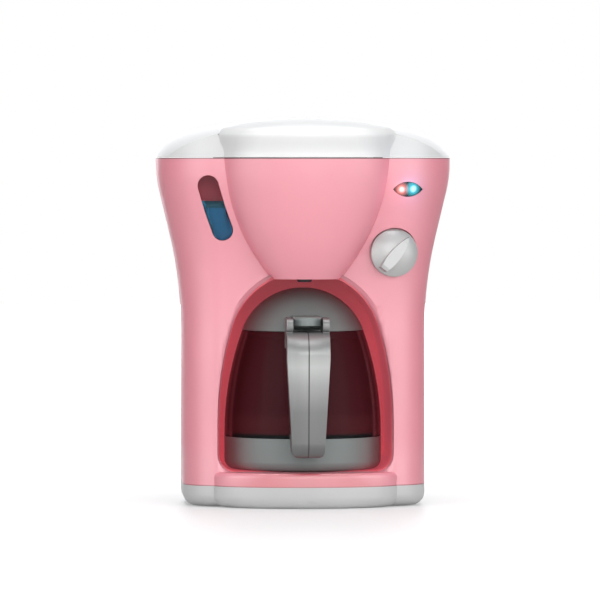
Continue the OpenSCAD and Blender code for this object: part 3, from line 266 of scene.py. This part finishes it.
def along(finish, direction):
    """How far a place lies along a direction through the object, such as UP."""
    return finish.node("ShaderNodeVectorMath", {"operation": "DOT_PRODUCT"},
                       {0: finish.place(), 1: direction}, out="Value")


foil = Finish("cell_wrap", Metallic=0.7, Roughness=0.35)
foil.feed(foil.shader, {"Base Color": stepped(
    foil, along(foil, RIGHT) * foil_scale + 0.5,
    (copper_end * foil_scale + 0.5, (0.55, 0.35, 0.10)),
    (wrap_start * foil_scale + 0.5, (0.03, 0.03, 0.03)))})
finished(foil, "battery_cells")


def plated_steel(name, shade, rough):
    """Zinc-plated steel with a faint drawn grain."""
    grain_scale, grain_depth = 900.0, 0.2
    finish = Finish(name, Metallic=1.0)
    grain = clouds(finish, grain_scale, 3.0)
    tint = stepped(finish, grain, (0.35, (shade * 0.85, shade * 0.85, shade * 0.88)),
                   (0.65, (shade, shade, shade)))
    finish.feed(finish.shader, {
        "Base Color": tint, "Roughness": rough + (grain - 0.5) * grain_depth})
    return finish


steel = plated_steel("plated_steel", 0.62, 0.3)
finished(steel, "battery_contacts", "battery_springs", "battery_door_screw", "base_screws",
         "shell_screws", "deck_screws", "lid_hinge_pins")

# ------------------------------------------------------------------- shells
# The housing is two hollow mouldings of pink plastic that meet at the sides,
# with the filter bowl, the sill and the niche's rolled lip in the front one.
# The sill's deeper pink and a line under the top seam are painted shade, and the housing's foot is
# polished.
pink_plastic = moulded_plastic("pink_plastic", (0.70, 0.21, 0.265), 0.48, shine=1.0, IOR=1.75,
                               Coat_Roughness=0.3)
foot_seam, top_seam = [corner[Z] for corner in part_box("front_shell")]
seam_line, seam_blur = 0.0004, 0.0002
sill_shade_start, sill_shade_end = 0.041, 0.049
polish_end, polish_start, polished, plain = 0.024, 0.036, 0.8, 0.1


def mixed(finish, share, first, last, way="MIX"):
    """A mixture of two colours, each a wire or three numbers."""
    first, last = [c if isinstance(c, Wire) else (*c, 1) for c in (first, last)]
    return finish.node("ShaderNodeMix", {"data_type": "RGBA", "blend_type": way},
                       {0: share, 6: first, 7: last}, out=2)


def graded(finish, value, start, end, first, last):
    """A colour that passes into another as a value goes from start to end."""
    share = finish.node("ShaderNodeMapRange", None,
                        {"Value": value, "From Min": start, "From Max": end})
    return mixed(finish, share, first, last)


def paint(finish, colour):
    """Gives the finish a new colour."""
    finish.tint = colour
    finish.feed(finish.shader, {"Base Color": colour})


def tinted(finish, value, start, end, colour):
    """Lets a colour take over from the finish's own as a value goes from start to end."""
    paint(finish, graded(finish, value, start, end, finish.tint, colour))


height = along(pink_plastic, UP)
# Painted shade: the front of the sill is painted a deeper pink, for the shade it lies in.
tinted(pink_plastic, along(pink_plastic, FRONT_AND_DOWN), sill_shade_start, sill_shade_end,
       (0.55, 0.09, 0.12))
# Painted shadow: a thin dark line along the top seam, where the lid sits on the shells.
tinted(pink_plastic, height, top_seam - seam_line - seam_blur, top_seam - seam_line,
       (0.16, 0.02, 0.03))
tinted(pink_plastic, height, foot_seam + seam_line + seam_blur, foot_seam + seam_line,
       (0.30, 0.03, 0.05))
pink_plastic.feed(pink_plastic.shader, {"Coat Weight": pink_plastic.node(
    "ShaderNodeMapRange", None, {
        "Value": height, "From Min": polish_end, "From Max": polish_start,
        "To Min": polished, "To Max": plain})})
moulded("front_shell", "body", pink_plastic, crease=46.0)
moulded("back_shell", "body", pink_plastic)

# -------------------------------------------------------------------- niche
# A deeper coral liner closes the arched niche behind the lip. It has a painted glow, an emission
# that stands in for light in the niche, strongest in its lower part.
coral_plastic = moulded_plastic("coral_plastic", (0.70, 0.10, 0.13), 0.5, Emission_Strength=1.0)
glow_low, glow_high = 0.085, 0.125
coral_plastic.feed(coral_plastic.shader, {"Emission Color": graded(
    coral_plastic, along(coral_plastic, UP), glow_low, glow_high,
    (0.26, 0.045, 0.06), (0.07, 0.03, 0.035))})
moulded("niche_liner", "body", coral_plastic)

# ---------------------------------------------------------- deck and filter
# Under the lid lies a white deck with a pouring well, and the dark filter
# basket hangs in it over the drip nozzle.
moulded("top_deck", "body", white_plastic)
moulded("filter_basket", "body", dark_plastic)
moulded("drip_nozzle", "body", dark_plastic)

# ------------------------------------------------------------------ top lid
# One white cap covers bowl and shoulders and is hinged at the back. Its front lobe has a band that
# leans outwards towards its rounded top edge, and the lobe's front is painted paler as a painted
# highlight.
lid_plastic = moulded_plastic("lid_plastic", (0.64, 0.64, 0.64), 0.38, coat=0.15,
                              Coat_Roughness=0.3)
front_highlight_start, front_highlight_end = -0.032, -0.025
# Painted highlight: the front of the lobe is paler.
tinted(lid_plastic, along(lid_plastic, FRONT_AND_DOWN), front_highlight_start, front_highlight_end,
       (0.76, 0.76, 0.76))
lean, lean_from, lean_to = 0.0024, 0.0025, 0.0125
lobe_back, lobe_width, lobe_depth, lobe_margin = -0.054, 0.0433, 0.020, 0.0015
row_height, first_row, last_row = 0.0012, 2, 10


def lean_out(point):
    """A point of the lobe's band, moved outwards by its height over the seam."""
    if point.y > lobe_back or abs(point.x) > lobe_width + lobe_margin:
        return point
    rise = min(1.0, max(0.0, (point.z - top_seam - lean_from) / (lean_to - lean_from)))
    share = rise * rise * (3 - 2 * rise) * lean
    return Vector((point.x * (1 + share / lobe_width),
                   point.y + (point.y - lobe_back) * share / lobe_depth, point.z))


moulded("top_lid", "top_lid", lid_plastic, reshape=lean_out,
        rows=[top_seam + row_height * row for row in range(first_row, last_row + 1)])

# -------------------------------------------------------------------- gauge
# The water gauge: a clear slanted window over a dark red pocket that is partly filled with blue
# liquid, darker near its surface, with a painted highlight along its left side.
maroon_plastic = moulded_plastic("maroon_plastic", (0.52, 0.06, 0.085), 0.5, shine=0.2)
moulded("gauge_housing", "body", maroon_plastic, edge=0)
blue_liquid = moulded_plastic("blue_liquid", (0.006, 0.135, 0.29), 0.4, drift=0.12, shine=0.1)
across_gauge = (0.95, 0, 0.313)
surface_depth, surface_blur, left_highlight_width, left_highlight_blur = 0.0034, 0.0006, 0.0008, 0.0008
water_low, water_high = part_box("gauge_water")
level = water_high[Z]
left_side = across_gauge[X] * water_low[X] + across_gauge[Z] * level
tinted(blue_liquid, along(blue_liquid, UP), level - surface_depth - surface_blur,
       level - surface_depth, (0.001, 0.07, 0.105))
# Painted highlight: a light strip along the liquid's left side.
tinted(blue_liquid, along(blue_liquid, across_gauge), left_side + left_highlight_width + left_highlight_blur,
       left_side + left_highlight_width, (0.02, 0.32, 0.55))
moulded("gauge_water", "body", blue_liquid, edge=0)
clear_plastic = moulded_plastic("clear_plastic", (0.1, 0.1, 0.12), 0.1, alpha=0.12, shine=0.2)
moulded("gauge_lens", "body", clear_plastic, edge=0.0002)

# -------------------------------------------------------------------- lamps
# Two small lamps, one red and one blue, shine in a metallised cup behind an
# almond-shaped lens of grey glass-clear plastic.
metallised = plated_steel("metallised_plastic", 0.1, 0.35)
moulded("lamp_reflector", "body", metallised, edge=0)
lamp_glass = moulded_plastic("lamp_glass", (0.04, 0.05, 0.05), 0.12, alpha=0.4, shine=0.3)
lens_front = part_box("lamp_lens")[0][Y]
halo_depth, shine_gap, shine_size = 0.002, 0.003, 0.002
lamp_tip, tip_fade = -0.047, 150.0


def lamp_place(lamp, y):
    """The place in front of a lamp's middle, at the depth y."""
    low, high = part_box(lamp)
    return ((low[X] + high[X]) / 2, y, (low[Z] + high[Z]) / 2)


def halo(finish, lamp, reach, tint):
    """Glow in the lens around one lamp: white at its middle, then its tint, then none."""
    far = finish.node("ShaderNodeVectorMath", {"operation": "DISTANCE"}, {
        0: finish.place(), 1: lamp_place(lamp, lens_front + halo_depth)}, out="Value")
    return stepped(finish, far * (1 / reach), (0.0, (1, 1, 1)),
                   (0.28, [0.6 + 0.4 * c for c in tint]), (0.5, [0.6 * c for c in tint]),
                   (1.0, (0, 0, 0)))


def glowing(name, colour, strength):
    """A lamp body of tinted resin, brightest at its tip."""
    finish = Finish(name, Roughness=0.15, Base_Color=(*colour, 1), Emission_Strength=strength)
    finish.feed(finish.shader, {"Emission Color": stepped(
        finish, (along(finish, BACK) - lamp_tip) * tip_fade,
        (0.0, colour), (1.0, [c * 0.3 for c in colour]))})
    return finish


both_halos = lamp_glass.node("ShaderNodeVectorMath", {"operation": "ADD"}, {
    0: halo(lamp_glass, "lamp_red", 0.0042, (0.85, 0.22, 0.20)),
    1: halo(lamp_glass, "lamp_blue", 0.0050, (0.05, 0.60, 0.75))})
lamp_glass.feed(lamp_glass.shader, {"Emission Color": both_halos, "Emission Strength": 2.6})
moulded("lamp_lens", "body", lamp_glass, edge=0.0002)

for lamp, resin, strength, shine_tint, shine_power in (
        ("lamp_red", (0.9, 0.20, 0.18), 0.35, (1.0, 0.35, 0.3), 0.0008),
        ("lamp_blue", (0.05, 0.45, 0.55), 0.5, (0.05, 0.6, 1.0), 0.003)):
    moulded(lamp, "body", glowing(lamp, resin, strength), edge=0)
    shine = bpy.data.lights.new(lamp + "_shine", "POINT")
    shine.color, shine.energy, shine.shadow_soft_size = shine_tint, shine_power, shine_size
    pool = bpy.data.objects.new(lamp + "_shine", shine)
    pool.location = lamp_place(lamp, lens_front - shine_gap)
    pool.visible_camera = False
    pool.visible_glossy = False
    bpy.context.scene.collection.objects.link(pool)
board_green = moulded_plastic("board_green", (0.02, 0.12, 0.05), 0.4, drift=0.2)
finished(board_green, "lamp_board", "circuit_board")

# --------------------------------------------------------------------- knob
# The knob of pearly silver plastic sits on a steel shaft that turns with it in the switch. The top
# of its grip blade carries a faint painted highlight.
pearl_plastic = moulded_plastic("pearl_plastic", (0.46, 0.46, 0.455), 0.42, coat=0.1, Metallic=0.45)
knob_joint = next(joint for joint in frame["record"]["behaviour"]["joints"]
                  if joint["name"] == "knob_turn")
knob_axis, blade_height, blade_blur = Vector(knob_joint["axis"]), 0.0068, 0.0004
blade_top = knob_axis.dot(Vector(knob_joint["pos_m"])) + blade_height
# Painted highlight: the top of the grip blade is a little paler.
tinted(pearl_plastic, along(pearl_plastic, tuple(knob_axis)), blade_top, blade_top + blade_blur,
       (0.47, 0.47, 0.47))
moulded("knob", "knob", pearl_plastic, edge=0.0005, crease=14.0)
finished(steel, "knob_shaft", "board_screws")
finished(dark_plastic, "rotary_switch")

# ------------------------------------------------------------------ speaker
# The black speaker lies in a round seat of the back shell, behind its slots.
# A white ring behind it keeps it there.
speaker_black = moulded_plastic("speaker_black", (0.015, 0.015, 0.016), 0.6, grain=0.0001)
finished(speaker_black, "speaker")
finished(white_plastic, "speaker_retainer")

# -------------------------------------------------------------- carafe's jar
# A smoked transparent jar stands in a grey foot and wears a grey domed lid. The jar is lighter in
# its lowest part, dark just over the foot, and shows a pale painted reflection line where its wall
# turns away.
smoked_plastic = moulded_plastic("smoked_plastic", (0.06, 0.011, 0.015), 0.22, alpha=0.74,
                                 shine=0.04)
foot_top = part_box("carafe_base")[1][Z]
height = along(smoked_plastic, UP)
band_top, band_blur, dark_top, dark_blur = 0.0115, 0.0005, 0.0016, 0.0014
tinted(smoked_plastic, height, foot_top + band_top + band_blur, foot_top + band_top,
       (0.075, 0.016, 0.02))
tinted(smoked_plastic, height, foot_top + dark_top + dark_blur, foot_top + dark_top,
       (0.012, 0.014, 0.014))
# Painted reflection: a pale line where the jar's wall turns away from view.
facing = smoked_plastic.node("ShaderNodeLayerWeight", None, {"Blend": 0.5}, out="Facing")
rim_reflection_line = stepped(smoked_plastic, facing, (0.55, (0, 0, 0)), (0.60, (1, 1, 1)),
                    (0.64, (0.6, 0.6, 0.6)), (0.69, (0, 0, 0)))
paint(smoked_plastic, mixed(smoked_plastic, rim_reflection_line, smoked_plastic.tint, (0.20, 0.075, 0.095)))
moulded("carafe_jar", "carafe", smoked_plastic)
grey_plastic = moulded_plastic("grey_plastic", (0.17, 0.195, 0.19), 0.42, coat=0.05)
moulded("carafe_base", "carafe", grey_plastic)
moulded("carafe_lid", "carafe_lid", grey_plastic)

# ----------------------------------------------------------- carafe's handle
# The handle is two silver-grey halves, screwed together around a lug on the jar and a lug on its
# foot. Its silver carries a painted highlight on the upper part of the grip and painted shade at
# its top bend and low end, and the front of the grip is crowned.
silver_plastic = moulded_plastic("silver_plastic", (0.92, 0.925, 0.92), 0.42, coat=0.05,
                                 Metallic=0.5)
grip_low, grip_high, joint_half, joint_blur = 0.030, 0.100, 0.0002, 0.0002
grip_share = (along(silver_plastic, UP) - grip_low) * (1 / (grip_high - grip_low))
# Painted light: paler on the upper grip, darker at the top bend and low end.
grip_painted_light = stepped(
    silver_plastic, grip_share,
    (0.0, (0.17, 0.17, 0.17)), (0.30, (0.19, 0.19, 0.19)), (0.50, (0.31, 0.31, 0.31)),
    (0.64, (0.43, 0.435, 0.43)), (0.74, (0.34, 0.345, 0.34)), (0.84, (0.20, 0.20, 0.20)),
    (1.0, (0.24, 0.24, 0.24)))
paint(silver_plastic, mixed(silver_plastic, 1.0, silver_plastic.tint, grip_painted_light, "MULTIPLY"))
from_joint = silver_plastic.node("ShaderNodeMath", {"operation": "ABSOLUTE"}, {
    0: along(silver_plastic, RIGHT)})
tinted(silver_plastic, from_joint, joint_half + joint_blur, joint_half, (0.05, 0.05, 0.05))
grip_front, grip_back, crown, column_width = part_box("handle_left")[0][Y], -0.0645, 18.0, 0.0015


def crowned(point):
    """A point of the grip's front, which falls back towards its sides."""
    share = min(1.0, max(0.0, (grip_back - point.y) / (grip_back - grip_front)))
    return Vector((point.x, point.y + share * crown * point.x ** 2, point.z))


for half in ("handle_left", "handle_right"):
    moulded(half, "carafe", silver_plastic, edge=0.001, crease=40.0,
            columns=[column_width * step for step in range(-5, 6) if step != 0],
            reshape=crowned)
finished(steel, "carafe_lid_pin", "handle_screws")

# --------------------------------------------------------- table and lights
# A white table top under soft studio light. Background and floor look white
# to the camera, and the floor keeps the object's shadow.
table_size, table_gap = 8, 0.0002
bpy.ops.object.select_all(action="DESELECT")
bpy.ops.mesh.primitive_plane_add(size=table_size, location=(0, 0, -table_gap))
floor = bpy.context.active_object
floor.name = "floor"
table = Finish("table_top", Roughness=0.5, Base_Color=(0.45, 0.45, 0.45, 1),
               Emission_Strength=1.0)
near_glow, glow_growth, mirrored_glow, mirror_start, mirror_rise = 0.27, 0.7, 0.6, 0.1, 3.0
seen = table.node("ShaderNodeLightPath", out="Is Camera Ray")
mirrored = table.node("ShaderNodeLightPath", out="Is Glossy Ray")
far = table.node("ShaderNodeVectorMath", {"operation": "LENGTH"}, {0: table.place()}, out="Value")
in_front = table.node("ShaderNodeMath", {"operation": "MULTIPLY", "use_clamp": True}, {
    0: mirror_start - along(table, BACK), 1: mirror_rise})
table.feed(table.shader, {"Emission Color": (
    seen * (far * glow_growth + near_glow) + mirrored * in_front * mirrored_glow)})
floor.data.materials.append(table.material)


class Studio(Finish):
    """The room around the object, built with the same node method as a finish."""

    def __init__(self, name):
        self.world = bpy.data.worlds.new(name)
        self.world.use_nodes = True
        self.tree = self.world.node_tree
        self.tree.nodes.clear()
        self.output = self.tree.nodes.new("ShaderNodeOutputWorld")


studio = Studio("studio")
bpy.context.scene.world = studio.world
seen = studio.node("ShaderNodeLightPath", out="Is Camera Ray")
seen_through = studio.node("ShaderNodeLightPath", out="Is Transmission Ray")
behind = studio.node("ShaderNodeSeparateXYZ", None, {
    0: studio.node("ShaderNodeTexCoord", out="Generated")}, out="Y")
brightness = studio.node("ShaderNodeMapRange", None, {
    "Value": behind, "From Min": 0.7, "From Max": 0.95, "To Min": 0.30, "To Max": 1.3})
room = studio.node("ShaderNodeBackground", None, {
    "Color": (0.95, 0.97, 1.0, 1), "Strength": brightness})
white = studio.node("ShaderNodeBackground", None, {"Color": (1, 1, 1, 1), "Strength": 1.0})
studio.feed(studio.output, {0: studio.node("ShaderNodeMixShader", None, {
    0: seen.maths("MAXIMUM", seen, seen_through), 1: room, 2: white})})

for name, place, aim_height, width, length, power in (
        ("front_panel", (0.2, -2.7, 0.75), 0.12, 2.0, 1.4, 28.0),
        ("right_panel", (1.7, -1.4, 0.6), 0.1, 1.5, 1.6, 20.0),
        ("left_panel", (-1.7, -1.4, 0.6), 0.1, 1.5, 1.6, 20.0),
        ("back_panel", (0, 2.6, 0.35), 0.1, 2.4, 1.0, 11.0),
        ("top_panel", (0, -0.3, 2.0), 0.1, 1.4, 1.4, 28.0)):
    light = bpy.data.lights.new(name, "AREA")
    light.shape = "RECTANGLE"
    light.size, light.size_y, light.energy = width, length, power
    panel = bpy.data.objects.new(name, light)
    bpy.context.scene.collection.objects.link(panel)
    panel.location = place
    aim = Vector((0, 0, aim_height))
    panel.rotation_euler = (aim - panel.location).to_track_quat("-Z", "Y").to_euler()

# ------------------------------------------------------------------- camera
# A long lens looks at the object from the front, a little from the left and
# from above.
camera_distance = 2.95
camera_turn = math.radians(2.75)
camera_rise = math.radians(1.47)
camera_aim = Vector((-0.0010, 0, 0.1078))
lens = bpy.data.cameras.new("camera")
lens.lens = 332
lens.sensor_width = 36
lens.clip_end = 50
camera = bpy.data.objects.new("camera", lens)
bpy.context.scene.collection.objects.link(camera)
camera.location = camera_aim + camera_distance * Vector((
    -math.sin(camera_turn) * math.cos(camera_rise),
    -math.cos(camera_turn) * math.cos(camera_rise),
    math.sin(camera_rise)))
camera.rotation_euler = (camera_aim - camera.location).to_track_quat("-Z", "Y").to_euler()
bpy.context.scene.camera = camera
bpy.context.scene.view_settings.view_transform = "Standard"
